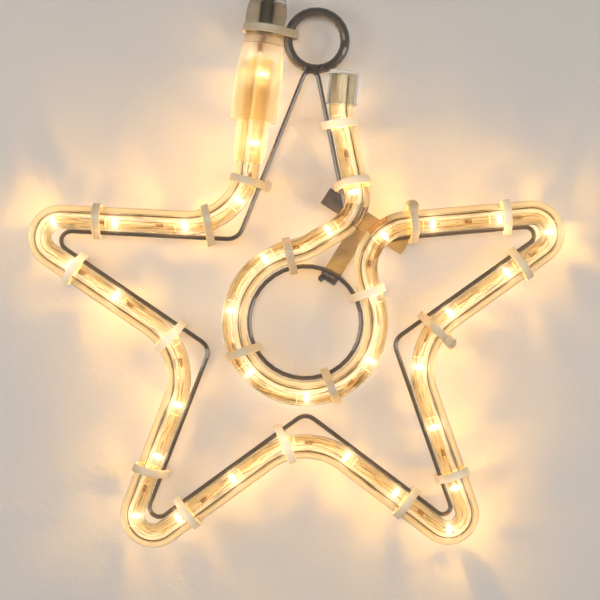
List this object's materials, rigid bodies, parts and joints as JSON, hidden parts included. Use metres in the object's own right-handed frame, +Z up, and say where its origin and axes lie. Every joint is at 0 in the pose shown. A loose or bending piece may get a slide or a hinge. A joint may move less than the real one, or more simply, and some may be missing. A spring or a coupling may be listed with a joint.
{
  "type": "led christmas star",
  "caption": "Wall-hung star of bent steel wire with a lit clear rope light tied along its outline and round an inner ring, with a connector, an end cap and a coiled power cord.",
  "frame": {"origin": "inner top of the hanging ring, where the wall screw carries the star", "axes": "+Z up, +X to the viewer's right, -Y towards the viewer; the wall is on the +Y side"},
  "size_m": [0.23, 0.0239, 0.3529],
  "materials": {
    "frame_steel": "satin dark grey powder coat",
    "clear_vinyl": "clear, soft gloss, slightly warm",
    "frosted_vinyl": "frosted and translucent",
    "tie_nylon": "natural nylon, satin",
    "lit_lamps": "clear lamp bodies, lit warm white",
    "tinned_copper": "bare tinned wire",
    "plated_brass": "nickel plated, satin",
    "brown_insulation": "brown core insulation",
    "blue_insulation": "blue core insulation",
    "black_rubber": "matt black jacket"
  },
  "bodies": {
    "root": {"star_wire": "frame_steel", "centre_ring": "frame_steel", "hanging_ring": "frame_steel", "cross_bar": "frame_steel", "link_bar": "frame_steel", "rope_tube": "clear_vinyl", "strain_relief": "clear_vinyl", "connector_sleeve": "frosted_vinyl", "connector_barrel": "frosted_vinyl", "connector_neck": "frosted_vinyl", "end_cap": "frosted_vinyl", "star_tie_01": "tie_nylon", "star_tie_02": "tie_nylon", "star_tie_03": "tie_nylon", "star_tie_04": "tie_nylon", "star_tie_05": "tie_nylon", "star_tie_06": "tie_nylon", "star_tie_07": "tie_nylon", "star_tie_08": "tie_nylon", "star_tie_09": "tie_nylon", "star_tie_10": "tie_nylon", "star_tie_11": "tie_nylon", "star_tie_12": "tie_nylon", "star_tie_13": "tie_nylon", "star_tie_14": "tie_nylon", "top_arm_tie_01": "tie_nylon", "top_arm_tie_02": "tie_nylon", "centre_tie_01": "tie_nylon", "centre_tie_02": "tie_nylon", "centre_tie_03": "tie_nylon", "centre_tie_04": "tie_nylon", "connector_tie": "tie_nylon", "lamp_string": "lit_lamps", "feed_wire_front": "tinned_copper", "feed_wire_rear": "tinned_copper", "contact_pin_front": "plated_brass", "contact_pin_rear": "plated_brass", "plug_pin_left": "plated_brass", "plug_pin_right": "plated_brass", "core_brown": "brown_insulation", "core_blue": "blue_insulation", "lead_jacket": "black_rubber", "cord_lead": "black_rubber", "cord_coil": "black_rubber", "coil_tie": "black_rubber", "cord_tail": "black_rubber", "plug_body": "black_rubber"}
  },
  "joints": []
}
